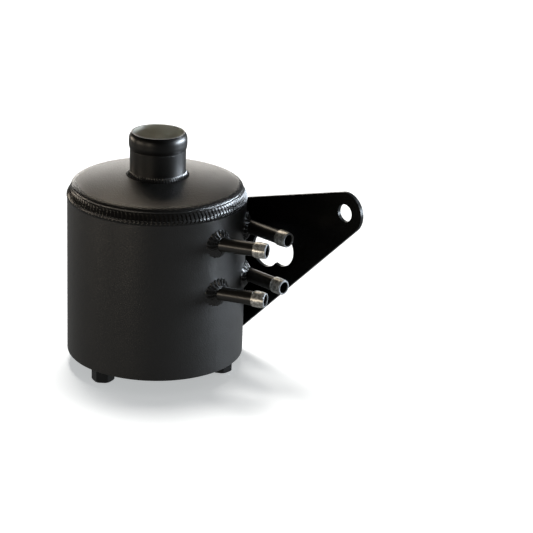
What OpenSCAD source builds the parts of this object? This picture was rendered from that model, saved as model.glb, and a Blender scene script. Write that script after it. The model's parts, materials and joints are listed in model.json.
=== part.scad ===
// Oil catch can: a welded round tank with an open neck on its cap, four hose nipples
// on one side, a flat mounting bracket at the back and three hexagonal feet.
// Frame: +Z up, the tank's axis is the Z axis, the floor under the feet is Z = 0.
// The bracket is parallel to the XZ plane, on the +Y side, and reaches out along +X.
// All sizes are in millimetres.

/* [Tank] */
// outside diameter of the tank tube
tank_od = 152.4; // [148:0.1:158]
// wall thickness of the tank tube
tank_wall = 3.2; // [2.8:0.1:3.6]
// length of the tank tube
tube_length = 141; // [138:1:150]
// height of the tube's lower edge above the floor
tube_lift = 14.5; // [12:0.5:18]
// gap between the tube and what is set into it
set_gap = 0.1; // [0.05:0.05:0.15]

/* [Cap] */
// how far the cap's upright side stands above the tube
skirt_rise = 6.4; // [6.2:0.1:7.4]
// how far the cap's skirt reaches down into the tube
skirt_depth = 12; // [11:0.5:13]
// sheet thickness of the cap
cap_sheet = 3; // [2.5:0.1:3.5]
// half the width of the oval that rounds the cap's shoulder
shoulder_run = 10; // [8.4:0.2:12]
// half the height of the oval that rounds the cap's shoulder
shoulder_drop = 4.1; // [3.4:0.1:4.8]
// how far the shoulder turns before the cap's crown takes over, in degrees
shoulder_turn = 62; // [58:1:68]

/* [Neck] */
// outside diameter of the neck
neck_od = 47.4; // [45:0.1:49]
// inside diameter of the neck
neck_bore = 42.6; // [40:0.1:43.4]
// height of the neck above the cap
neck_height = 36.9; // [33:0.1:44]
// how far the neck reaches down past the cap's sheet
neck_tuck = 4; // [3:0.5:5]
// outside diameter of the neck's rolled bead
bead_od = 49.3; // [49.1:0.1:51]
// height of the bead's lower edge below the rim
bead_reach = 14; // [11:0.5:16]
// height of the bead's widest ring below the rim
bead_peak = 8.6; // [7.5:0.1:9.5]
// length of the straight ring on the bead
bead_land = 2; // [1.4:0.2:2.4]
// outside diameter of the rim
rim_od = 45.2; // [44.4:0.1:46]

/* [Hose nipples] */
// outside diameter of a nipple's tube
nipple_od = 11.8; // [11:0.1:12.4]
// inside diameter of a nipple
nipple_bore = 10; // [9:0.1:10.4]
// outside diameter of a nipple's bulged end
bulge_od = 13.6; // [13.2:0.1:14.4]
// outside diameter of a nipple's mouth
mouth_od = 12.6; // [12.2:0.1:12.9]
// length of a nipple's bulged end
bulge_length = 11.2; // [10:0.2:13]
// length of the straight ring on a nipple's bulge
bulge_land = 1.6; // [1.2:0.2:2.4]
// length of the flare behind a nipple's bulge
bulge_lip = 2.2; // [1.8:0.1:2.8]
// rounding of a nipple's mouth
mouth_round = 0.5; // [0.3:0.1:0.7]
// how far a nipple reaches into the tank
nipple_inside = 13; // [11:0.5:14]
// distance of the upper pair below the tube's upper edge
upper_drop = 25; // [23:0.5:29]
// distance between the upper and the lower pair
pair_gap = 43.3; // [36:0.1:50]
// how far the front pair stands out of the tank
front_reach = 43.2; // [36:0.2:50]
// how far the upper rear nipple stands out of the tank
rear_upper_reach = 50; // [42:0.2:56]
// how far the lower rear nipple stands out of the tank
rear_lower_reach = 47; // [42:0.2:56]
// place of the front pair round the tank, from +X
front_root = -1.3; // [-6:0.1:4]
// direction the front pair points in, from +X
front_aim = 25; // [15:1:30]
// place of the rear pair round the tank, from +X
rear_root = 40; // [36:0.5:43]
// direction the rear pair points in, from +X
rear_aim = 0; // [-3:0.5:8]

/* [Bracket] */
// thickness of the bracket plate
plate = 3.2; // [2.5:0.1:4]
// distance of the bolt hole from the tank's axis, along X
ear_x = 144.9; // [138:0.1:152]
// height of the bolt hole above the tube's lower edge
ear_z = 143.7; // [138:0.1:150]
// radius of the bracket's rounded end
ear_r = 17.8; // [15:0.1:20]
// diameter of the bolt hole
ear_bore = 15; // [10:0.1:17]
// rise of the bracket's upper edge, in degrees
upper_slope = 16.8; // [13:0.1:20]
// rise of the bracket's lower edge, in degrees
lower_slope = 44.4; // [42:0.1:46]
// how far the plate runs past its line of contact with the tank
plate_back = 10; // [8:0.5:12]
// height of the plate's level lower edge above the tube's lower edge
plate_low = 3; // [2:0.5:6]
// radius of the two overlapping openings
lobe_r = 15.2; // [12:0.1:16]
// distance of the outer opening from the tank's axis, along X
lobe_x = 74; // [70:0.5:78]
// height of the outer opening above the tube's lower edge
lobe_z = 92; // [88:0.5:96]
// distance between the two openings' centres
lobe_step = 18.6; // [15:0.1:22]

/* [Feet] */
// width of a foot across its flats
foot_flats = 17; // [15:0.1:17]
// distance of the feet's axes in from the tank's outside
foot_inset = 16.2; // [15:0.1:22]
// radius of a foot's threaded stud
stud_r = 4.9; // [4:0.1:5.4]
// length of a foot's threaded stud
stud_length = 11; // [8:0.5:12]
// bevel round a foot's lower edge
foot_bevel = 0.9; // [0.6:0.1:1.2]

/* [Inside] */
// thickness of the bottom plate
floor_plate = 5; // [4:0.5:6]
// how far the bottom plate is set up into the tube
floor_inset = 3; // [2.6:0.1:3.4]
// outside radius of a foot's bung
bung_r = 10; // [9.9:0.1:10.6]
// height of a foot's bung
bung_height = 17; // [15:0.5:19]
// thickness of the perforated baffle
baffle = 1.5; // [1.2:0.1:1.8]
// radius of a hole in the baffle
baffle_hole_r = 5; // [3:0.5:6]
// distance of the baffle's outer holes in from the tube's inside
baffle_edge = 17; // [14:0.5:20]
// distance between the baffle's two rings of holes
baffle_pitch = 18; // [14:0.5:20]
// free depth under a foot's stud in its bung
stud_room = 2; // [1:0.5:3]

/* [Welds] */
// how far the cap's weld reaches down the tube
weld_down = 4; // [3:0.5:5]
// how far the cap's weld stands out of the tube
weld_proud = 0.5; // [0.3:0.1:0.8]
// how far the cap's weld reaches up the cap
weld_up = 6; // [5.4:0.1:6.2]
// width of the neck's weld
neck_weld_leg = 4.2; // [3.6:0.2:5]
// radius of the weld round a nipple
collar_r = 12.6; // [12:0.2:13.4]
// height of the weld round a nipple
collar_height = 5.6; // [5:0.2:6.2]
// how far a nipple's weld leans with a nipple that is turned a right angle
collar_lean = 2.4; // [2:0.1:2.8]
// where the weld behind the bracket starts, from the line of contact
gusset_start = 12; // [11:0.5:13]
// width of the weld behind the bracket
gusset_width = 10.4; // [9:0.2:12]
// width of the weld at the bracket's end
seam_width = 5.6; // [5:0.2:6.6]
// how deep the bracket's welds are
seam_depth = 4; // [3.4:0.2:4.6]
// how far the bracket's welds stop short of the plate's edges
seam_stop = 4; // [3:0.5:6]
// width of the weld round a bung
bung_weld_leg = 2.2; // [1.8:0.1:2.6]

/* [Hidden] */
$fn = 96;
eps = 0.01;
tank_r = tank_od / 2;
bore_r = tank_r - tank_wall;
cap_r = bore_r - set_gap;
tube_top = tube_lift + tube_length;
skirt_top = tube_top + skirt_rise;
skirt_end = tube_top - skirt_depth;
crown_r = cap_r - shoulder_run * (1 - cos(shoulder_turn));
crown_slope = shoulder_drop / shoulder_run / tan(shoulder_turn);
neck_r = neck_od / 2;
seat_r = neck_r + set_gap;
toe_r = neck_r + neck_weld_leg;
rim_z = crown(seat_r) + neck_height;
neck_foot = crown(seat_r) - cap_sheet - neck_tuck;
nipple_r = nipple_od / 2;
upper_z = tube_top - upper_drop;
lower_z = upper_z - pair_gap;
plate_y = tank_r;
hole_z = tube_lift + ear_z;
floor_z = tube_lift + floor_inset;
baffle_z = skirt_end - baffle;
foot_circle = tank_r - foot_inset;
baffle_ring_r = bore_r - baffle_edge;
foot_angles = [270, 30, 150];
foot_turns = [13, 0, 21];

// which piece to build, or all of them

// Shared helpers

// height of the cap's crown at a given distance from the axis
function crown(r) = skirt_top + shoulder_drop * sin(shoulder_turn)
    + crown_slope * (crown_r * crown_r - r * r) / (2 * crown_r);

// puts its children on a nipple's axis: Z runs outwards, zero is where it leaves the tank
module on_nipple(root, aim, z) {
    translate([tank_r * cos(root), tank_r * sin(root), z])
        rotate([0, 0, aim])
            rotate([0, 90, 0])
                children();
}

// the solid the tank's outside fills, finely round for the thin wedges of the welds
module tank_core() {
    translate([0, 0, tube_lift])
        cylinder(r = tank_r, h = tube_length, $fn = 720);
}

module nipple_hole(root, aim, z) {
    on_nipple(root, aim, z)
        translate([0, 0, -nipple_inside * 1.5])
            cylinder(r = nipple_r + set_gap, h = nipple_inside * 2.5);
}

// the turned outline of a nipple, from its inner end to its mouth
module nipple(root, aim, z, reach) {
    s0 = reach - bulge_length;
    bulge_r = bulge_od / 2;
    mouth_r = mouth_od / 2;
    crest = s0 + bulge_lip;
    taper = bulge_length - bulge_lip - bulge_land - mouth_round;
    steps = 8;
    outer = [for (i = [0 : steps])
        let (t = i / steps)
        [bulge_r - (bulge_r - mouth_r) * t * t, crest + bulge_land + taper * t]];
    lip = [for (i = [0 : 5])
        let (t = i / 5)
        [nipple_r + (bulge_r - nipple_r) * sin(90 * t), s0 + bulge_lip * (1 - cos(90 * t))]];
    on_nipple(root, aim, z)
        rotate_extrude()
            polygon(concat(
                [[nipple_bore / 2, -nipple_inside], [nipple_r, -nipple_inside]],
                lip, outer,
                [[mouth_r - mouth_round, reach], [nipple_bore / 2, reach]]));
}

// a domed bead round a nipple's root, leaning the way the nipple does
module nipple_weld(root, aim, z) {
    dome_r = (collar_r * collar_r + collar_height * collar_height) / (2 * collar_height);
    lean = collar_lean * sin(aim - root);
    difference() {
        rotate([0, 0, root])
            translate([tank_r + collar_height - dome_r, lean, z])
                sphere(r = dome_r);
        tank_core();
        on_nipple(root, aim, z)
            translate([0, 0, -nipple_inside * 1.5])
                cylinder(r = nipple_r, h = nipple_inside * 1.5 + collar_r * 2);
    }
}

// Tank

module tank_tube() {
    color([0.09, 0.09, 0.09])
    difference() {
        translate([0, 0, tube_lift])
            cylinder(r = tank_r, h = tube_length);
        translate([0, 0, tube_lift - 1])
            cylinder(r = bore_r, h = tube_length + 2);
        nipple_hole(front_root, front_aim, upper_z);
        nipple_hole(front_root, front_aim, lower_z);
        nipple_hole(rear_root, rear_aim, upper_z);
        nipple_hole(rear_root, rear_aim, lower_z);
    }
}

// an upright skirt, a shoulder that is a part of an ellipse and a slightly domed crown
module top_cap() {
    steps = 8;
    inner_run = shoulder_run - cap_sheet;
    inner_drop = shoulder_drop * inner_run / shoulder_run;
    inner_r = cap_r - cap_sheet - inner_run * (1 - cos(shoulder_turn));
    inner_z = crown(inner_r) - cap_sheet - inner_drop * sin(shoulder_turn);
    shoulder = [for (i = [0 : steps])
        let (a = shoulder_turn * i / steps)
        [cap_r - shoulder_run * (1 - cos(a)), skirt_top + shoulder_drop * sin(a)]];
    outside = [for (i = [1 : steps])
        let (r = crown_r + (toe_r - crown_r) * i / steps)
        [r, crown(r)]];
    inside = [for (i = [0 : steps])
        let (r = seat_r + (inner_r - seat_r) * i / steps)
        [r, crown(r) - cap_sheet]];
    inner_shoulder = [for (i = [steps - 1 : -1 : 0])
        let (a = shoulder_turn * i / steps)
        [cap_r - cap_sheet - inner_run * (1 - cos(a)), inner_z + inner_drop * sin(a)]];
    color([0.09, 0.09, 0.09])
    rotate_extrude()
        polygon(concat(
            [[cap_r - cap_sheet, skirt_end], [cap_r, skirt_end]],
            shoulder, outside,
            [[seat_r, crown(seat_r)]],
            inside, inner_shoulder));
}

module bottom_plate() {
    color([0.62, 0.62, 0.6])
    difference() {
        translate([0, 0, floor_z])
            cylinder(r = cap_r, h = floor_plate);
        for (a = foot_angles)
            rotate([0, 0, a])
                translate([foot_circle, 0, floor_z - 1])
                    cylinder(r = bung_r + set_gap, h = floor_plate + 2);
    }
}

// Neck: a turned tube with a straight bore, a bead behind its rim and a narrow rim
module neck_tube() {
    bead_r = bead_od / 2;
    rim_r = rim_od / 2;
    steps = 8;
    rise = [for (i = [0 : steps])
        let (t = i / steps)
        [neck_r + 0.2 + (bead_r - neck_r - 0.2) * sin(90 * t),
            rim_z - bead_reach + (bead_reach - bead_peak - bead_land / 2) * t]];
    fall = [for (i = [0 : steps])
        let (t = i / steps)
        [bead_r - (bead_r - rim_r - 0.2) * t * t * t,
            rim_z - bead_peak + bead_land / 2 + (bead_peak - bead_land / 2 - 0.4) * t]];
    color([0.05, 0.05, 0.05])
    rotate_extrude()
        polygon(concat(
            [[neck_bore / 2, neck_foot], [neck_r, neck_foot], [neck_r, rim_z - bead_reach]],
            rise, fall,
            [[rim_r - 0.2, rim_z], [neck_bore / 2, rim_z]]));
}

// Welds of the cap, the neck and the base

module cap_weld() {
    crown_z = tube_top - weld_down / 2;
    color([0.07, 0.07, 0.07])
    rotate_extrude()
        polygon([
            [tank_r, tube_top],
            [tank_r, tube_top - weld_down],
            [tank_r + weld_proud * 0.7, crown_z - weld_down / 4],
            [tank_r + weld_proud, crown_z],
            [tank_r + weld_proud * 0.6, tube_top - weld_down * 0.15],
            [tank_r - tank_wall * 0.28, tube_top + weld_up * 0.3],
            [tank_r - tank_wall * 0.69, tube_top + weld_up * 0.64],
            [cap_r + tank_wall * 0.125, tube_top + weld_up * 0.88],
            [cap_r, tube_top + weld_up],
            [cap_r, tube_top]]);
}

module neck_weld() {
    leg = neck_weld_leg;
    seat_z = crown(seat_r);
    color([0.06, 0.06, 0.06])
    rotate_extrude()
        polygon([
            [neck_r, seat_z],
            [seat_r, seat_z],
            [toe_r, crown(toe_r)],
            [neck_r + leg * 0.8, seat_z + leg * 0.2],
            [neck_r + leg * 0.45, seat_z + leg * 0.6],
            [neck_r + leg * 0.15, seat_z + leg * 0.92],
            [neck_r, seat_z + leg]]);
}

module base_weld() {
    leg = floor_inset * 0.86;
    color([0.07, 0.07, 0.07])
    rotate_extrude()
        polygon([
            [bore_r, floor_z],
            [bore_r - leg, floor_z],
            [bore_r - leg * 0.4, floor_z - leg * 0.4],
            [bore_r, floor_z - leg]]);
}

// Hose nipples and their welds

module front_upper_nipple() {
    color([0.05, 0.05, 0.05]) nipple(front_root, front_aim, upper_z, front_reach);
}

module front_lower_nipple() {
    color([0.05, 0.05, 0.05]) nipple(front_root, front_aim, lower_z, front_reach);
}

module rear_upper_nipple() {
    color([0.05, 0.05, 0.05]) nipple(rear_root, rear_aim, upper_z, rear_upper_reach);
}

module rear_lower_nipple() {
    color([0.05, 0.05, 0.05]) nipple(rear_root, rear_aim, lower_z, rear_lower_reach);
}

module front_upper_weld() {
    color([0.07, 0.07, 0.07]) nipple_weld(front_root, front_aim, upper_z);
}

module front_lower_weld() {
    color([0.07, 0.07, 0.07]) nipple_weld(front_root, front_aim, lower_z);
}

module rear_upper_weld() {
    color([0.07, 0.07, 0.07]) nipple_weld(rear_root, rear_aim, upper_z);
}

module rear_lower_weld() {
    color([0.07, 0.07, 0.07]) nipple_weld(rear_root, rear_aim, lower_z);
}

// Bracket: two straight edges tangent to a rounded end, with two overlapping openings

// height of the plate's upper and lower edge lines at a given X
function upper_edge(x) = hole_z + ear_r / cos(upper_slope) + (x - ear_x) * tan(upper_slope);
function lower_edge_x(z) = ear_x + (z - hole_z + ear_r / cos(lower_slope)) / tan(lower_slope);

module bracket_outline() {
    low = tube_lift + plate_low;
    polygon([
        [-plate_back, low],
        [lower_edge_x(low), low],
        [ear_x + ear_r * sin(lower_slope), hole_z - ear_r * cos(lower_slope)],
        [ear_x, hole_z],
        [ear_x - ear_r * sin(upper_slope), hole_z + ear_r * cos(upper_slope)],
        [-plate_back, upper_edge(-plate_back)]]);
    translate([ear_x, hole_z])
        circle(r = ear_r);
}

module mount_bracket() {
    color([0.04, 0.04, 0.04])
    translate([0, plate_y + plate, 0])
        rotate([90, 0, 0])
            linear_extrude(height = plate)
                difference() {
                    bracket_outline();
                    translate([ear_x, hole_z])
                        circle(r = ear_bore / 2);
                    translate([lobe_x, tube_lift + lobe_z])
                        circle(r = lobe_r);
                    translate([lobe_x - lobe_step * cos(upper_slope),
                            tube_lift + lobe_z - lobe_step * sin(upper_slope)])
                        circle(r = lobe_r);
                }
}

module bracket_outer_weld() {
    low = tube_lift + plate_low + seam_stop;
    high = upper_edge(gusset_start) - seam_stop;
    color([0.07, 0.07, 0.07])
    difference() {
        translate([0, 0, low])
            linear_extrude(height = high - low)
                polygon([
                    [gusset_start, plate_y - seam_depth],
                    [gusset_start + gusset_width * 0.67, plate_y - seam_depth],
                    [gusset_start + gusset_width * 0.92, plate_y - seam_depth * 0.4],
                    [gusset_start + gusset_width, plate_y],
                    [gusset_start, plate_y]]);
        tank_core();
    }
}

module bracket_inner_weld() {
    low = tube_lift + plate_low + seam_stop;
    high = upper_edge(-plate_back) - seam_stop;
    color([0.07, 0.07, 0.07])
    difference() {
        translate([0, 0, low])
            linear_extrude(height = high - low)
                polygon([
                    [-plate_back, plate_y - seam_depth],
                    [-plate_back, plate_y + plate * 0.8],
                    [-plate_back - seam_width * 0.43, plate_y + plate * 0.5],
                    [-plate_back - seam_width * 0.9, plate_y - seam_depth * 0.25],
                    [-plate_back - seam_width, plate_y - seam_depth]]);
        tank_core();
    }
}

// Feet: a hexagonal bar with a stud that screws into a blind bung in the bottom plate

module foot(i) {
    corner_r = foot_flats / 2 / cos(30);
    color([0.03, 0.03, 0.03])
    rotate([0, 0, foot_angles[i]])
        translate([foot_circle, 0, 0])
            union() {
                rotate([0, 0, foot_turns[i]])
                    intersection() {
                        cylinder(r = corner_r, h = floor_z, $fn = 6);
                        rotate_extrude()
                            polygon([
                                [0, 0],
                                [corner_r - foot_bevel, 0],
                                [corner_r, foot_bevel * 2 / 3],
                                [corner_r, floor_z],
                                [0, floor_z]]);
                    }
                translate([0, 0, floor_z - eps])
                    cylinder(r = stud_r, h = stud_length + eps);
            }
}

module bung(i) {
    color([0.62, 0.62, 0.6])
    rotate([0, 0, foot_angles[i]])
        translate([foot_circle, 0, floor_z])
            difference() {
                cylinder(r = bung_r, h = bung_height);
                translate([0, 0, -1])
                    cylinder(r = stud_r + set_gap, h = stud_length + stud_room + 1);
            }
}

module front_foot() { foot(0); }
module right_foot() { foot(1); }
module left_foot() { foot(2); }
module front_bung() { bung(0); }
module right_bung() { bung(1); }
module left_bung() { bung(2); }

module bung_welds() {
    leg = bung_weld_leg;
    color([0.55, 0.55, 0.53])
    for (a = foot_angles)
        rotate([0, 0, a])
            translate([foot_circle, 0, floor_z + floor_plate])
                rotate_extrude()
                    polygon([
                        [bung_r, 0],
                        [bung_r + leg, 0],
                        [bung_r + leg * 0.5, leg * 0.6],
                        [bung_r, leg]]);
}

// Inside: a perforated baffle that closes the lower end of the cap's skirt

module baffle_plate() {
    color([0.62, 0.62, 0.6])
    difference() {
        translate([0, 0, baffle_z])
            cylinder(r = cap_r, h = baffle);
        for (a = [0 : 30 : 330])
            rotate([0, 0, a])
                translate([baffle_ring_r, 0, baffle_z - 1])
                    cylinder(r = baffle_hole_r, h = baffle + 2);
        for (a = [30 : 60 : 330])
            rotate([0, 0, a])
                translate([baffle_ring_r - baffle_pitch, 0, baffle_z - 1])
                    cylinder(r = baffle_hole_r, h = baffle + 2);
    }
}

tank_tube();
top_cap();
bottom_plate();
neck_tube();
cap_weld();
neck_weld();
base_weld();
front_upper_nipple();
front_lower_nipple();
rear_upper_nipple();
rear_lower_nipple();
front_upper_weld();
front_lower_weld();
rear_upper_weld();
rear_lower_weld();
mount_bracket();
bracket_outer_weld();
bracket_inner_weld();
front_foot();
right_foot();
left_foot();
front_bung();
right_bung();
left_bung();
bung_welds();
baffle_plate();
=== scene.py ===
# %% [markdown]
# # A welded oil catch can
# The can is a black coated tank with a beaded neck, four hose nipples, a flat bracket and three
# hexagonal feet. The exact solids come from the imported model. This script gives them their
# finishes, lays rippled weld beads over the plain ones, and sets up the studio.

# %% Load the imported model
import json
import math

import bmesh
import bpy
from mathutils import Matrix, Vector

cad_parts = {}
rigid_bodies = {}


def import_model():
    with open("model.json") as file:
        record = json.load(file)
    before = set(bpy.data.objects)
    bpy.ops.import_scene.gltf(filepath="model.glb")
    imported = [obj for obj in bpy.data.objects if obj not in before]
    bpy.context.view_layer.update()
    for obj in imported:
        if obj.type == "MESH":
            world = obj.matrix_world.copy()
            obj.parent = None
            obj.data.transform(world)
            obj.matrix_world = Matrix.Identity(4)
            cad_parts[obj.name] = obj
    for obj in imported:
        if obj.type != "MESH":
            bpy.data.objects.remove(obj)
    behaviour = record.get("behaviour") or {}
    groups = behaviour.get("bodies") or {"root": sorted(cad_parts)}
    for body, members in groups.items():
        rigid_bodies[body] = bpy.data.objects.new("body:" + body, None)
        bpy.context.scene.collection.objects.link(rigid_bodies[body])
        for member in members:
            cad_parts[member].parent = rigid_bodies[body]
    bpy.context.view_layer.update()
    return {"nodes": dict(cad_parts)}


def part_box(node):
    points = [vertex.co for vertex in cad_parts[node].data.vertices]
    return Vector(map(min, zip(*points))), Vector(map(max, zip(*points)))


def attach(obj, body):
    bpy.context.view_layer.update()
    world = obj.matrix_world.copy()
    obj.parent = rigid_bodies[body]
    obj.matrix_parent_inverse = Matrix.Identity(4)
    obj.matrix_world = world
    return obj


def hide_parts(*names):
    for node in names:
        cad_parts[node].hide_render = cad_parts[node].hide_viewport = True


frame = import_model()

NODES = frame["nodes"]

# %% [markdown]
# ## Sizes
# The welds have to lie where the solids meet, so their sizes are the ones of the solids. Heights
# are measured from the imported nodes, and the rest are repeated in metres. Measuring is safer than
# typing, because a change of the solids then moves the beads as well.

# %% Sizes of the can
MM = 0.001
TANK_R = 76.2 * MM
TANK_WALL = 3.2 * MM
CAP_R = TANK_R - TANK_WALL - 0.1 * MM
NECK_R = 23.7 * MM
NECK_BORE_R = 21.3 * MM
NIPPLE_R = 5.9 * MM
NIPPLE_BORE_R = 5.25 * MM  # a little over the bore, so that its wall counts as inside
COLLAR_R = 12.6 * MM
COLLAR_HEIGHT = 5.6 * MM
COLLAR_LEAN = 2.4 * MM
BULGE_LENGTH = 11.2 * MM
TUBE_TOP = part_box("tank_tube")[1].z
TUBE_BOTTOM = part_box("tank_tube")[0].z
SEAT_R = NECK_R + 0.1 * MM
SEAT_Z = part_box("top_cap")[1].z
CROWN_R = 67.6 * MM
CROWN_SLOPE = 0.218
RIM_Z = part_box("neck_tube")[1].z
SCRIBE_Z = RIM_Z - 14.6 * MM
FLOOR_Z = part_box("bottom_plate")[0].z
UPPER_Z = (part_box("front_upper_nipple")[0].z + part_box("front_upper_nipple")[1].z) / 2
LOWER_Z = (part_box("front_lower_nipple")[0].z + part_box("front_lower_nipple")[1].z) / 2

# root angle, aim angle, height, how far it stands out
NIPPLES = {
    "front_upper": (-1.3, 25, UPPER_Z, 43.2 * MM),
    "front_lower": (-1.3, 25, LOWER_Z, 43.2 * MM),
    "rear_upper": (40, 0, UPPER_Z, 50 * MM),
    "rear_lower": (40, 0, LOWER_Z, 47 * MM),
}


def crown(r):
    """Height of the cap's domed crown at a distance from the axis."""
    return SEAT_Z + CROWN_SLOPE * (SEAT_R * SEAT_R - r * r) / (2 * CROWN_R)


print("tube from", round(TUBE_BOTTOM, 4), "to", round(TUBE_TOP, 4),
      "crown at the neck", round(SEAT_Z, 4), "rim at", round(RIM_Z, 4))


# %% [markdown]
# ## Writing node trees as sums
# A node tree is long to write by hand. The small class below wraps one socket, so that an
# expression such as `1 - mask * 0.5` adds its Math nodes by itself. Every other node comes from
# one function, which sets the node's own settings first and then its sockets.

# %% A socket that can be added and multiplied
class Link:
    def __init__(self, tree, socket):
        self.tree, self.socket = tree, socket

    def math(self, operation, *values):
        return add(self.tree, "ShaderNodeMath", {"operation": operation},
                   dict(enumerate(values)))[0]

    def __add__(self, other): return self.math("ADD", self, other)
    def __radd__(self, other): return self.math("ADD", other, self)
    def __sub__(self, other): return self.math("SUBTRACT", self, other)
    def __rsub__(self, other): return self.math("SUBTRACT", other, self)
    def __mul__(self, other): return self.math("MULTIPLY", self, other)
    def __rmul__(self, other): return self.math("MULTIPLY", other, self)
    def __truediv__(self, other): return self.math("DIVIDE", self, other)
    def __pow__(self, other): return self.math("POWER", self, other)
    def __lt__(self, other): return self.math("LESS_THAN", self, other)
    def __gt__(self, other): return self.math("GREATER_THAN", self, other)
    def __abs__(self): return self.math("ABSOLUTE", self)

    def top(self, other):
        """The larger of the two."""
        return self.math("MAXIMUM", self, other)

    def fract(self):
        """What is left after the whole number."""
        return self.math("FRACT", self)

    def smooth(self, low, high):
        """0 below low, 1 above high, soft between."""
        return add(self.tree, "ShaderNodeMapRange", {"interpolation_type": "SMOOTHSTEP"},
                   {0: self, 1: low, 2: high, 3: 0.0, 4: 1.0})[0]


class Made:
    """A node whose outputs are Links, by name or number."""
    def __init__(self, tree, node):
        self.tree, self.node = tree, node

    def __getitem__(self, key):
        return Link(self.tree, self.node.outputs[key])


def add(tree, kind, settings=None, sockets=None):
    """Adds a node. A socket is fed by a Link or set to a value."""
    node = tree.nodes.new(kind)
    for name, value in (settings or {}).items():
        setattr(node, name, value)
    for key, value in (sockets or {}).items():
        if isinstance(value, Link):
            tree.links.new(value.socket, node.inputs[key])
        else:
            node.inputs[key].default_value = value
    return Made(tree, node)


# %% [markdown]
# ## Weld ripples
# A bead laid by hand is a row of small frozen pools, each lying over the one before, so its
# surface climbs steeply on to each pool and falls slowly to the next. It could be modelled pool
# by pool, but a bead that follows a path is easier as one strip: Python lays the smooth strip and
# writes three numbers on each point: how far along the bead it lies, how far across, and how much
# it may be pressed. A Geometry Nodes tree then presses the valleys in. It only presses inwards,
# so the bead stays inside its solid.

# %% The tree that presses ripples into a bead
def ripple_tree():
    tree = bpy.data.node_groups.new("weld_ripples", "GeometryNodeTree")
    face = tree.interface
    face.new_socket("Geometry", in_out="INPUT", socket_type="NodeSocketGeometry")
    for name, value in (("Ripples", 60.0), ("Depth", 0.0004), ("Crescent", 0.5),
                        ("Unevenness", 0.3), ("Seed", 1.0)):
        face.new_socket(name, in_out="INPUT", socket_type="NodeSocketFloat").default_value = value
    face.new_socket("Material", in_out="INPUT", socket_type="NodeSocketMaterial")
    face.new_socket("Geometry", in_out="OUTPUT", socket_type="NodeSocketGeometry")
    given = Made(tree, tree.nodes.new("NodeGroupInput"))

    def painted(name):
        return add(tree, "GeometryNodeInputNamedAttribute", {"data_type": "FLOAT"},
                   {"Name": name})[0]

    place = add(tree, "GeometryNodeInputPosition")[0]
    drift = add(tree, "ShaderNodeTexNoise", {"noise_dimensions": "4D"},
                {"Vector": place, "W": given["Seed"], "Scale": 90.0, "Detail": 1.0})[0]
    lumps = add(tree, "ShaderNodeTexNoise", {"noise_dimensions": "4D"},
                {"Vector": place, "W": given["Seed"] + 7.0, "Scale": 260.0, "Detail": 1.0})[0]
    side = painted("across") * 2.0 - 1.0
    phase = painted("along") * given["Ripples"] + given["Crescent"] * side * side \
        + (drift - 0.5) * given["Unevenness"]
    step = phase.fract()
    crest = step.smooth(0.0, 0.24) * (1 - step) ** 0.8 * 1.25
    press = ((crest - 1) * (0.55 + 0.8 * lumps)).top(-1.0)
    push = add(tree, "ShaderNodeVectorMath", {"operation": "SCALE"},
               {0: add(tree, "GeometryNodeInputNormal")[0],
                "Scale": press * given["Depth"] * painted("amount")})[0]
    moved = add(tree, "GeometryNodeSetPosition", None,
                {"Geometry": given["Geometry"], "Offset": push})[0]
    real = add(tree, "GeometryNodeRealizeInstances", None, {0: moved})[0]
    done = add(tree, "GeometryNodeSetMaterial", None,
               {"Geometry": real, "Material": given["Material"]})[0]
    add(tree, "NodeGroupOutput", None, {0: done})
    return tree


RIPPLES = ripple_tree()
print("ripple tree:", len(RIPPLES.nodes), "nodes")


# %% Lay a bead and bake its ripples
def through(points, count):
    """A smooth line through the points, as count + 1 points."""
    made = []
    last = len(points) - 1
    for i in range(count + 1):
        at = i / count * last
        k = min(int(at), last - 1)
        t = at - k
        p0, p1, p2, p3 = (Vector(points[max(0, min(last, j))]) for j in (k - 1, k, k + 1, k + 2))
        made.append(0.5 * ((2 * p1) + (p2 - p0) * t + (2 * p0 - 5 * p1 + 4 * p2 - p3) * t * t
                           + (3 * p1 - p0 - 3 * p2 + p3) * t ** 3))
    return made


def lay_bead(name, rings, across, amount, ring_closed=True):
    """Joins rings of points into one closed skin and writes the three numbers on it."""
    size, total = len(rings[0]), len(rings)
    mesh = bpy.data.meshes.new(name)
    points = [p for ring in rings for p in ring]
    faces = []
    for i in range(total if ring_closed else total - 1):
        j = (i + 1) % total
        for k in range(size):
            m = (k + 1) % size
            faces.append((i * size + k, i * size + m, j * size + m, j * size + k))
    if not ring_closed:
        faces.append(tuple(range(size - 1, -1, -1)))
        faces.append(tuple((total - 1) * size + k for k in range(size)))
    mesh.from_pydata(points, [], faces)
    ends = total if ring_closed else total - 1
    numbers = {
        "along": [i / ends for i in range(total) for _ in range(size)],
        "across": [across[k] for _ in range(total) for k in range(size)],
        "amount": [amount[k] for _ in range(total) for k in range(size)],
    }
    for key, values in numbers.items():
        mesh.attributes.new(key, "FLOAT", "POINT").data.foreach_set("value", values)
    mesh.update()
    return mesh


def face_out(mesh):
    """Turns the skin the right way round, judged by its volume's sign."""
    work = bmesh.new()
    work.from_mesh(mesh)
    bmesh.ops.recalc_face_normals(work, faces=work.faces)
    if work.calc_volume(signed=True) < 0:
        bmesh.ops.reverse_faces(work, faces=work.faces)
    work.to_mesh(mesh)
    work.free()


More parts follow.
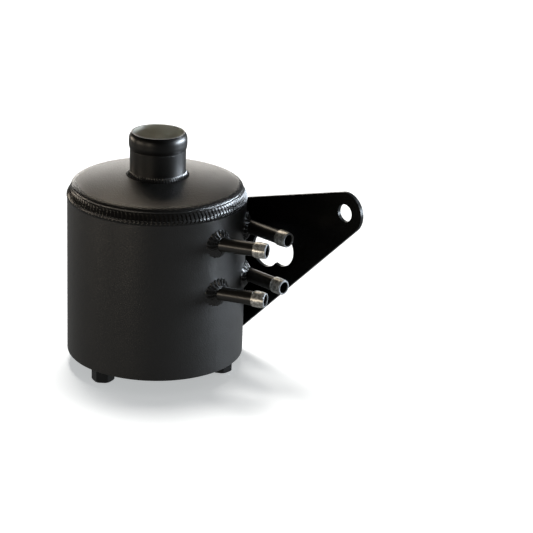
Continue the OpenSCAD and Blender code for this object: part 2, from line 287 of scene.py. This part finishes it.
def ripple(name, mesh, material, node, slot, **inputs):
    """Runs the ripple tree over a bead, keeps the result as plain mesh, and puts it on the can."""
    face_out(mesh)
    rough = bpy.data.objects.new(name + "_smooth", mesh)
    bpy.context.scene.collection.objects.link(rough)
    modifier = rough.modifiers.new("ripples", "NODES")
    modifier.node_group = RIPPLES
    wanted = {**inputs, "Material": material}
    for item in RIPPLES.interface.items_tree:
        if item.in_out == "INPUT" and item.name in wanted:
            modifier[item.identifier] = wanted[item.name]
    dg = bpy.context.evaluated_depsgraph_get()
    baked = bpy.data.meshes.new_from_object(rough.evaluated_get(dg))
    bpy.data.objects.remove(rough)
    for key in ("along", "across", "amount"):
        baked.attributes.remove(baked.attributes[key])
    baked.name = name
    baked.shade_smooth()
    bead = bpy.data.objects.new(name, baked)
    bpy.context.scene.collection.objects.link(bead)
    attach(bead, "root")
    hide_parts(node)
    print(name, "has", sum(len(p.vertices) - 2 for p in baked.polygons), "triangles")


# %% [markdown]
# ## Finishes
# The tank, cap and welds carry a black powder coat with a fine grain: nearly black paint, a broad
# soft sheen, and a shallow bump with lumps about a millimetre wide. The neck and the nipples have
# no such grain, and they are bare metal where the coat was masked off: inside the neck, and on the
# bulged ends. Where the coat stops is worked out from the place on the part, in Object coordinates.

# %% Tools for the finishes
def new_material(name):
    material = bpy.data.materials.new(name)
    material.use_nodes = True
    tree = material.node_tree
    tree.nodes.clear()
    place = add(tree, "ShaderNodeTexCoord")["Object"]
    return material, tree, place


def close(tree, sockets):
    shader = add(tree, "ShaderNodeBsdfPrincipled", None, sockets)
    add(tree, "ShaderNodeOutputMaterial", None, {"Surface": shader["BSDF"]})


def noise(tree, place, grain, detail=2.0, rough=0.5):
    """Noise whose lumps are about grain metres wide, from 0 to 1."""
    return add(tree, "ShaderNodeTexNoise", None,
               {"Vector": place, "Scale": 1 / grain, "Detail": detail, "Roughness": rough})["Fac"]


def bump(tree, height, distance, strength=1.0):
    return add(tree, "ShaderNodeBump", None,
               {"Height": height, "Distance": distance, "Strength": strength})["Normal"]


def mix(tree, share, first, second):
    """A colour that goes from first to second."""
    return add(tree, "ShaderNodeMix", {"data_type": "RGBA"},
               {"Factor": share, "A": first, "B": second})["Result"]


def blend(share, first, second):
    """A number that goes from first to second."""
    return share * (second - first) + first


def rgb(r, g, b):
    return (r, g, b, 1.0)


def parts_of(tree, place):
    split = add(tree, "ShaderNodeSeparateXYZ", None, {0: place})
    return split["X"], split["Y"], split["Z"]


def lathe_rings(tree, along, per_metre):
    """Fine rings across a turned piece, from 0 to 1."""
    return add(tree, "ShaderNodeTexNoise", {"noise_dimensions": "1D"},
               {"W": along * per_metre, "Scale": 1.0, "Detail": 1.0})["Fac"]


def dress(material, *names):
    """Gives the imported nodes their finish."""
    for name in names:
        mesh = NODES[name].data
        mesh.materials.clear()
        mesh.materials.append(material)


# %% Coat with a grain, and bare metal inside
COAT = (0.0096, 0.0090, 0.0083)
ALLOY = (0.56, 0.55, 0.52)
DARKER, LIGHTER = 0.86, 1.14  # how far the coat's colour drifts
DULLED = 0.8                  # bare metal inside, with its skin of oxide
BARE_GLOSS = 0.42


def coated(name, inside, gloss=0.32, level=0.75, bumps=0.15, fine=1.1 * MM, bend=None):
    """A finish for a coated piece. inside(x, y, z, r) gives 1 where the metal is bare; with None it
    is coated all over. gloss is the roughness, bumps the grain's depth in mm and fine its width.
    Below the height bend, where the press rolled the sheet over, the coat is a little smoother."""
    material, tree, place = new_material(name)
    x, y, z = parts_of(tree, place)
    grain = noise(tree, place, fine, 2.0, 0.6)
    patch = noise(tree, place, 14 * MM, 2.0)
    colour = mix(tree, patch, rgb(*(c * DARKER for c in COAT)), rgb(*(c * LIGHTER for c in COAT)))
    roughness = gloss + (grain - 0.5) * 0.10 + (patch - 0.5) * 0.05
    if bend is not None:
        roughness = roughness - (1 - z.smooth(bend - 2 * MM, bend)) * 0.12
    metallic = 0.0
    if inside is not None:
        bare = inside(x, y, z, (x * x + y * y) ** 0.5)
        colour = mix(tree, bare, colour, rgb(*(c * DULLED for c in ALLOY)))
        roughness = blend(bare, roughness, BARE_GLOSS)
        metallic = bare
    close(tree, {"Base Color": colour, "Roughness": roughness, "Metallic": metallic,
                 "Specular IOR Level": level, "Normal": bump(tree, grain, bumps * MM)})
    return material


tank_coat = coated("tank_coat", lambda x, y, z, r: r < TANK_R - TANK_WALL + 0.3 * MM)
cap_coat = coated(
    "cap_coat", lambda x, y, z, r: (z < crown(r) - 1.5 * MM) * (r < CAP_R - 2.5 * MM),
    gloss=0.35, bumps=0.4, fine=1.3 * MM, bend=SEAT_Z - 5.5 * MM)
weld_coat = coated("weld_coat", None, gloss=0.25, level=0.32, bumps=0.02)
neck_weld_coat = coated("neck_weld_coat", None, gloss=0.27, level=0.75, bumps=0.02)
collar_coat = coated("collar_coat", None, gloss=0.26, level=0.85, bumps=0.02)
plate_coat = coated("bottom_coat", lambda x, y, z, r: z > FLOOR_Z + 1 * MM)
dress(tank_coat, "tank_tube")
dress(cap_coat, "top_cap")
dress(plate_coat, "bottom_plate")


# %% [markdown]
# ## Neck and nipples
# The neck is turned, so it shows fine lathe rings and one line scribed below its bead, and its rim
# is worn bare. On a nipple the coat ends just behind the bulge, with a slightly ragged line, and
# the bare end is smudged and shows the rings that the lathe left.

# %% Neck
def neck_finish():
    material, tree, place = new_material("neck_gloss")
    x, y, z = parts_of(tree, place)
    r = (x * x + y * y) ** 0.5
    wipe = noise(tree, place, 25 * MM)
    inside = r < NECK_BORE_R + 0.25 * MM
    rim = z > RIM_Z - 0.1 * MM
    bare = inside.top(rim)
    scribe = abs(z - SCRIBE_Z) < 0.35 * MM
    rings = lathe_rings(tree, z, 2600.0)
    metal = mix(tree, rim, rgb(0.95, 0.93, 0.84), rgb(0.42, 0.42, 0.42))
    close(tree, {
        "Base Color": mix(tree, bare, rgb(0.0024, 0.0019, 0.0014), metal),
        "Roughness": blend(bare, 0.31 + wipe * 0.05, 0.28),
        "Metallic": bare * 0.82,
        "Specular IOR Level": 0.36,
        "Normal": bump(tree, rings * 0.12 - scribe * 6.0, 0.03 * MM, 0.8),
    })
    return material


dress(neck_finish(), "neck_tube")


# %% Nipples
def nipple_finish(name, root, aim, z0, reach):
    """Black behind the bulge, bare from there to the mouth and inside, with painted shade on the
    end face and deep in the bore.
    """
    material, tree, place = new_material(name + "_finish")
    root, aim = math.radians(root), math.radians(aim)
    start = Vector((TANK_R * math.cos(root), TANK_R * math.sin(root), z0))
    way = Vector((math.cos(aim), math.sin(aim), 0))
    side = add(tree, "ShaderNodeVectorMath", {"operation": "SUBTRACT"}, {0: place, 1: start})[0]
    out = add(tree, "ShaderNodeVectorMath", {"operation": "DOT_PRODUCT"},
              {0: side, 1: way})["Value"]
    length = add(tree, "ShaderNodeVectorMath", {"operation": "LENGTH"}, {0: side})["Value"]
    away = (length * length - out * out).top(0.0) ** 0.5
    ragged = noise(tree, place, 1.6 * MM)
    edge = reach - BULGE_LENGTH - 0.2 * MM + (ragged - 0.5) * 0.9 * MM
    tip = out > edge
    hole = away < NIPPLE_BORE_R
    bare = tip.top(hole)
    rings = lathe_rings(tree, out, 3300.0)
    smudge = noise(tree, place, 2.2 * MM)
    metal = mix(tree, smudge.smooth(0.35, 0.65),
                rgb(0.46, 0.45, 0.41), rgb(0.98, 0.97, 0.92))
    # Painted shade: the mouth's end face is painted a darker grey than the bare metal behind it.
    metal = mix(tree, out > reach - 0.5 * MM, metal, rgb(0.45, 0.46, 0.47))
    # Painted shade: deep in the bore the bare metal is painted near black.
    bore_shade = (out < reach - 1.2 * MM) * hole
    metal = mix(tree, bore_shade, metal, rgb(0.02, 0.02, 0.02))
    close(tree, {
        "Base Color": mix(tree, bare, rgb(0.010, 0.0083, 0.0050), metal),
        "Roughness": blend(bare, 0.32, 0.24 + smudge * 0.16),
        "Metallic": bare * 0.75,
        "Specular IOR Level": 0.85,
        "Normal": bump(tree, rings * tip, 0.05 * MM, 0.7),
    })
    return material


for name, (root, aim, z0, reach) in NIPPLES.items():
    dress(nipple_finish(name, root, aim, z0, reach), name + "_nipple")


# %% [markdown]
# ## Bracket, feet and the metal inside
# The bracket plate is a deeper, flatter black than the tank. The feet are hexagonal bar under a
# shiny black, with the faint lines of the bar along their sides. What is inside stays bare metal
# with the marks of the rolling mill.

# %% Bracket
def bracket_finish():
    material, tree, place = new_material("bracket_satin")
    grain = noise(tree, place, 0.7 * MM, 2.0, 0.6)
    patch = noise(tree, place, 22 * MM)
    facing = parts_of(tree, add(tree, "ShaderNodeNewGeometry")["Normal"])[1]
    # Painted highlight: the plate's edges, where the normal lies across the plate, are painted
    # lighter than its faces.
    edge_highlight = abs(facing) < 0.5
    black = mix(tree, patch, rgb(0.0016, 0.0016, 0.0015), rgb(0.0028, 0.0028, 0.0026))
    close(tree, {
        "Base Color": mix(tree, edge_highlight, black, rgb(0.012, 0.012, 0.012)),
        "Roughness": blend(edge_highlight, 0.26 + (grain - 0.5) * 0.1, 0.30),
        "Specular IOR Level": 0.12,
        "Normal": bump(tree, grain, 0.08 * MM),
    })
    return material


def stretched(tree, place, scale):
    """The place with one direction squeezed, so that noise in it turns into lines."""
    return add(tree, "ShaderNodeVectorMath", {"operation": "MULTIPLY"}, {0: place, 1: scale})[0]


def foot_finish():
    material, tree, place = new_material("foot_gloss")
    drawn = noise(tree, stretched(tree, place, (1, 1, 0.02)), 0.35 * MM, 1.0)
    patch = noise(tree, place, 5 * MM)
    close(tree, {
        "Base Color": mix(tree, patch, rgb(0.004, 0.004, 0.004), rgb(0.008, 0.008, 0.008)),
        "Roughness": 0.14 + patch * 0.1,
        "Specular IOR Level": 0.6,
        "Normal": bump(tree, drawn, 0.012 * MM, 0.4),
    })
    return material


def mill_finish():
    material, tree, place = new_material("mill_metal")
    lines = noise(tree, stretched(tree, place, (1, 0.03, 1)), 0.5 * MM, 2.0)
    patch = noise(tree, place, 12 * MM)
    close(tree, {
        "Base Color": mix(tree, patch, rgb(0.46, 0.45, 0.43), rgb(0.60, 0.59, 0.56)),
        "Roughness": 0.34 + lines * 0.16,
        "Metallic": 1.0,
        "Normal": bump(tree, lines, 0.02 * MM, 0.5),
    })
    return material


dress(bracket_finish(), "mount_bracket")
dress(foot_finish(), "front_foot", "right_foot", "left_foot")
dress(mill_finish(), "front_bung", "right_bung", "left_bung", "bung_welds", "baffle_plate")


# %% [markdown]
# ## The beads on the tank
# The three round beads are turned shapes: round the cap, round the neck's foot, and inside the
# skirt below the bottom plate. Each profile follows the solid's own outline, with its hidden side
# sunk a little into the metal so that no gap can show.

# %% Round beads
def ring_bead(name, outline, hidden, ripples, per_ripple, depth, node, crescent, seed, edge=0.25,
              coat=weld_coat):
    """outline and hidden are (radius, height) points; the outline is the side that shows.
    edge is the share of the depth that is left at the bead's two edges."""
    shown = through([(r, z, 0) for r, z in outline], 16)
    size = len(shown)
    across = [i / (size - 1) for i in range(size)] + [0.5] * len(hidden)
    amount = [edge + (1 - edge) * math.sin(math.pi * a) ** 1.5 for a in across[:size]]
    amount += [0.0] * len(hidden)
    profile = [(p.x, p.y) for p in shown] + list(hidden)
    steps = ripples * per_ripple
    rings = []
    for i in range(steps):
        a = 2 * math.pi * i / steps
        rings.append([(r * math.cos(a), r * math.sin(a), z) for r, z in profile])
    mesh = lay_bead(name, rings, across, amount)
    ripple(name, mesh, coat, node, "coated_tank", Ripples=float(ripples), Depth=depth,
           Crescent=crescent, Unevenness=0.45, Seed=seed)


EDGE = 0.05 * MM  # how far a bead's edge dips under the metal beside it
UP, DOWN, PROUD = 6 * MM, 4 * MM, 0.5 * MM
ring_bead(
    "cap_bead",
    [(TANK_R - EDGE, TUBE_TOP - DOWN), (TANK_R + PROUD * 0.7, TUBE_TOP - DOWN * 0.75),
     (TANK_R + PROUD, TUBE_TOP - DOWN * 0.5), (TANK_R + PROUD * 0.6, TUBE_TOP - DOWN * 0.15),
     (TANK_R - TANK_WALL * 0.28, TUBE_TOP + UP * 0.3),
     (TANK_R - TANK_WALL * 0.69, TUBE_TOP + UP * 0.64),
     (CAP_R + TANK_WALL * 0.125, TUBE_TOP + UP * 0.88), (CAP_R - EDGE, TUBE_TOP + UP)],
    [(CAP_R - 0.8 * MM, TUBE_TOP + UP * 0.5), (TANK_R - 1.2 * MM, TUBE_TOP - DOWN * 0.6)],
    132, 14, 0.6 * MM, "cap_weld", 0.8, 3.0, edge=0.1)

LEG = 3.5 * MM
ring_bead(
    "neck_foot_bead",
    [(NECK_R + LEG, crown(NECK_R + LEG) - EDGE), (NECK_R + LEG * 0.70, SEAT_Z + LEG * 0.08),
     (NECK_R + LEG * 0.40, SEAT_Z + LEG * 0.30), (NECK_R + LEG * 0.16, SEAT_Z + LEG * 0.64),
     (NECK_R - EDGE, SEAT_Z + LEG)],
    [(NECK_R - 0.5 * MM, SEAT_Z + LEG * 0.3), (NECK_R + LEG * 0.5, SEAT_Z - 0.8 * MM)],
    66, 14, 0.6 * MM, "neck_weld", 0.5, 5.0, edge=0.45, coat=neck_weld_coat)

INSIDE_R = TANK_R - TANK_WALL
BASE_LEG = (FLOOR_Z - TUBE_BOTTOM) * 0.86
ring_bead(
    "base_bead",
    [(INSIDE_R + EDGE, FLOOR_Z - BASE_LEG), (INSIDE_R - BASE_LEG * 0.4, FLOOR_Z - BASE_LEG * 0.4),
     (INSIDE_R - BASE_LEG, FLOOR_Z + EDGE)],
    [(INSIDE_R - BASE_LEG * 0.5, FLOOR_Z + 0.5 * MM),
     (INSIDE_R + 0.5 * MM, FLOOR_Z - BASE_LEG * 0.4)],
    122, 8, 0.28 * MM, "base_weld", 0.4, 9.0)


# %% [markdown]
# ## The collars round the nipples
# Each nipple stands in a thick ring of weld, about eighteen pools laid like the petals of a
# rosette. The ring is a part of a ball that the round wall and the tube cut off, so where each of
# its lines starts and ends is found by halving a step until it meets the tube and the wall.

# %% Collars
def collar(name, root, aim, z0, seed, petals=18, per_petal=14):
    """One ring of weld round a nipple, with its pools laid like petals."""
    root_a, aim_a = math.radians(root), math.radians(aim)
    out = Vector((math.cos(root_a), math.sin(root_a), 0))
    side = Vector((-math.sin(root_a), math.cos(root_a), 0))
    up = Vector((0, 0, 1))
    ball = (COLLAR_R ** 2 + COLLAR_HEIGHT ** 2) / (2 * COLLAR_HEIGHT)
    centre = out * (TANK_R + COLLAR_HEIGHT - ball) \
        + side * COLLAR_LEAN * math.sin(aim_a - root_a) + up * z0
    start = out * TANK_R + up * z0
    way = Vector((math.cos(aim_a), math.sin(aim_a), 0))

    def from_tube(p):
        d = p - start
        return (d - way * d.dot(way)).length - NIPPLE_R

    def from_wall(p):
        return math.hypot(p.x, p.y) - TANK_R

    def on_ball(a, b):
        ray = out * math.cos(b) + (side * math.cos(a) + up * math.sin(a)) * math.sin(b)
        return centre + ray * ball

    def meet(test, a, low, high):
        """The angle from the ball's top, between low and high, at which the test turns false."""
        for _ in range(40):
            middle = (low + high) / 2
            if test(on_ball(a, middle)):
                low = middle
            else:
                high = middle
        return (low + high) / 2

    cells = 12
    across = [i / cells for i in range(cells + 1)] + [0.5, 0.5]
    amount = [0.35 + 0.65 * math.sin(math.pi * a) ** 0.7 if a < 0.55
              else 1.0 - 0.35 * (a - 0.55) / 0.45 for a in across[:cells + 1]] + [0.0, 0.0]
    rings = []
    steps = petals * per_petal
    for i in range(steps):
        a = 2 * math.pi * i / steps
        first = meet(lambda p: from_tube(p) < 0, a, 0.0, 1.2)
        last = meet(lambda p: from_wall(p) > 0, a, 0.3, 1.5)
        ring = [on_ball(a, first + (last - first) * k / cells) for k in range(cells + 1)]
        tail = ring[-1] - out * 0.9 * MM
        head = ring[0] - out * 2.5 * MM
        rings.append([tuple(p) for p in ring] + [tuple(tail), tuple(head)])
    mesh = lay_bead(name + "_collar", rings, across, amount)
    ripple(name + "_collar", mesh, collar_coat, name + "_weld", "coated_tank",
           Ripples=-float(petals), Depth=1.2 * MM, Crescent=-0.25, Unevenness=0.6, Seed=seed)


for number, (name, (root, aim, z0, reach)) in enumerate(NIPPLES.items()):
    collar(name, root, aim, z0, 11.0 + 3 * number)


# %% [markdown]
# ## The beads along the bracket
# Two straight beads hold the plate to the tank, one in the narrow wedge in front of it and one
# over its hidden edge. They run up and down, so the same strip is laid along a straight line, and
# its two ends are closed.

# %% Straight beads
def straight_bead(name, shown, hidden, low, high, ripples, node, seed, depth, per_ripple=10):
    """shown and hidden are (x, y) points of the bead's outline; it runs from low to high."""
    line = through([(x, y, 0) for x, y in shown], 10)
    size = len(line)
    across = [i / (size - 1) for i in range(size)] + [0.5] * len(hidden)
    amount = [0.3 + 0.7 * math.sin(math.pi * a) for a in across[:size]] + [0.0] * len(hidden)
    profile = [(p.x, p.y) for p in line] + list(hidden)
    steps = ripples * per_ripple
    rings = [[(x, y, low + (high - low) * i / steps) for x, y in profile]
             for i in range(steps + 1)]
    mesh = lay_bead(name, rings, across, amount, ring_closed=False)
    ripple(name, mesh, weld_coat, node, "coated_tank", Ripples=float(ripples), Depth=depth,
           Crescent=0.5, Unevenness=0.45, Seed=seed)


outer_low, outer_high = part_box("bracket_outer_weld")
straight_bead(
    "bracket_outer_bead",
    [(20.1 * MM, 73.1 * MM), (21.2 * MM, 74.2 * MM), (21.9 * MM, 75.2 * MM),
     (22.38 * MM, 76.3 * MM)],
    [(17.5 * MM, 76.5 * MM), (17.5 * MM, 73.6 * MM)],
    outer_low.z, outer_high.z, 29, "bracket_outer_weld", 31.0, depth=0.35 * MM)

inner_low, inner_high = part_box("bracket_inner_weld")
straight_bead(
    "bracket_inner_bead",
    [(-9.9 * MM, 78.75 * MM), (-12.4 * MM, 77.8 * MM), (-14.4 * MM, 76.0 * MM),
     (-15.3 * MM, 74.3 * MM)],
    [(-12.0 * MM, 73.6 * MM), (-9.7 * MM, 76.0 * MM)],
    inner_low.z, inner_high.z, 27, "bracket_inner_weld", 37.0, depth=0.5 * MM)

# %% [markdown]
# ## Studio
# The can stands on a plain white floor. A black can shows little but what it reflects, so the soft
# boxes were placed by what the coat should mirror: a long cool window low at the right with a weak
# box above it for the cap's shoulder, a pale backdrop low behind, a warm box higher behind, and
# weak warm boxes low at the left. None stands right in front, so the front of the can stays dark.
# These light the can alone. One more box high above lights the floor alone, and the floor adds
# some light of its own for the camera, so that it comes out white and still takes a soft shadow.

# %% Camera
RIGHT = Vector((0.7170, 0.6963, 0.0356))
UPWARD = Vector((-0.2707, 0.2310, 0.9346))
FORWARD = Vector((-0.6425, 0.6797, -0.3540))
EYE = Vector((1.1012, -1.0269, 0.6607))
LENS, SENSOR = 126.24, 36.0
camera_data = bpy.data.cameras.new("camera")
camera_data.lens = LENS
camera_data.sensor_width = SENSOR
camera_data.clip_start, camera_data.clip_end = 0.05, 50.0
camera = bpy.data.objects.new("camera", camera_data)
bpy.context.scene.collection.objects.link(camera)
back = -FORWARD
camera.matrix_world = Matrix((
    (RIGHT.x, UPWARD.x, back.x, EYE.x),
    (RIGHT.y, UPWARD.y, back.y, EYE.y),
    (RIGHT.z, UPWARD.z, back.z, EYE.z),
    (0, 0, 0, 1)))
bpy.context.scene.camera = camera
bpy.context.scene.view_settings.view_transform = "Standard"

# %% Floor
HALF = 8.0
SUNK = 0.0002  # keeps the floor from sharing a plane with the feet
floor_mesh = bpy.data.meshes.new("floor")
floor_mesh.from_pydata(
    [(-HALF, -HALF, 0), (HALF, -HALF, 0), (HALF, HALF, 0), (-HALF, HALF, 0)], [], [(0, 1, 2, 3)])
floor = bpy.data.objects.new("floor", floor_mesh)
bpy.context.scene.collection.objects.link(floor)
floor.location.z = -SUNK
paper, tree, place = new_material("floor_paper")
seen = add(tree, "ShaderNodeLightPath")
own = seen["Is Camera Ray"] * 0.46 + seen["Is Glossy Ray"] * 0.14 \
    + seen["Is Diffuse Ray"] * 0.20
glow = add(tree, "ShaderNodeEmission", None, {"Color": rgb(0.96, 0.99, 1.0), "Strength": own})
shown = mix(tree, seen["Is Camera Ray"], rgb(0.04, 0.04, 0.04), rgb(0.80, 0.80, 0.80))
matt = add(tree, "ShaderNodeBsdfDiffuse", None, {"Color": shown})
both = add(tree, "ShaderNodeAddShader", None, {0: glow[0], 1: matt[0]})
add(tree, "ShaderNodeOutputMaterial", None, {"Surface": both[0]})
floor_mesh.materials.append(paper)

# %% Room
world = bpy.data.worlds.new("room")
bpy.context.scene.world = world
world.use_nodes = True
room = world.node_tree
room.nodes.clear()
looking = add(room, "ShaderNodeTexCoord")["Generated"]
REAR = Vector((FORWARD.x, FORWARD.y, 0)).normalized()
behind = add(room, "ShaderNodeVectorMath", {"operation": "DOT_PRODUCT"},
             {0: looking, 1: REAR})["Value"]
path = add(room, "ShaderNodeLightPath")
direct = path["Is Camera Ray"]
mirrored = path["Is Glossy Ray"].top(path["Is Transmission Ray"])
wall = behind.smooth(0.3, 0.9) * 0.05 + 0.02
strength = direct + (1 - direct) * (mirrored * wall + (1 - mirrored) * 0.15)
light = add(room, "ShaderNodeBackground", None, {"Color": rgb(1, 1, 1), "Strength": strength})
add(room, "ShaderNodeOutputWorld", None, {"Surface": light[0]})


# %% Soft boxes
TO_CAMERA = -REAR
TO_RIGHT = Vector((RIGHT.x, RIGHT.y, 0)).normalized()
MIDDLE = Vector((0, 0, 0.09))
COOL, NEUTRAL, WARM = (0.81, 0.90, 1.0), (1.0, 0.96, 0.90), (1.0, 0.87, 0.70)

can_only = bpy.data.collections.new("can_only")
for thing in bpy.context.scene.objects:
    if thing.type == "MESH" and thing != floor:
        can_only.objects.link(thing)
floor_only = bpy.data.collections.new("floor_only")
floor_only.objects.link(floor)


def soft_box(name, turn, rise, far, wide, tall, watts, colour, lights=can_only):
    """turn is the angle from the camera's side round to the right, rise the angle above the
    floor. lights is the collection that the box lights; everything else doesn't see it."""
    t, r = math.radians(turn), math.radians(rise)
    way = (TO_CAMERA * math.cos(t) + TO_RIGHT * math.sin(t)) * math.cos(r) \
        + Vector((0, 0, math.sin(r)))
    data = bpy.data.lights.new(name, "AREA")
    data.shape, data.size, data.size_y = "RECTANGLE", wide, tall
    data.energy, data.color = watts, colour
    lamp = bpy.data.objects.new(name, data)
    bpy.context.scene.collection.objects.link(lamp)
    lamp.location = MIDDLE + way * far
    lamp.rotation_mode = "QUATERNION"
    lamp.rotation_quaternion = (-way).to_track_quat("-Z", "Y")
    lamp.visible_camera = False
    lamp.light_linking.receiver_collection = lights
    print(name, "at", tuple(round(v, 2) for v in lamp.location))


soft_box("right_window", 101, 6, 1.7, 1.30, 0.44, 100.0, COOL)
soft_box("shoulder_light", 118, 32, 1.7, 0.50, 0.34, 5.0, COOL)
soft_box("backdrop_low", -170, 6, 1.7, 1.10, 0.50, 6.0, NEUTRAL)
soft_box("rear_warm", -165, 47, 1.7, 0.95, 0.42, 4.0, WARM)
soft_box("left_low", -72, 2, 1.7, 0.80, 0.28, 4.6, WARM)
soft_box("front_left", -32, 2, 1.7, 0.80, 0.28, 3.4, WARM)
soft_box("left_rim", -118, 2, 1.7, 0.60, 0.28, 4.8, WARM)
soft_box("floor_light", -175, 75, 3.0, 1.1, 1.1, 96.0, (1.0, 0.99, 0.97), floor_only)
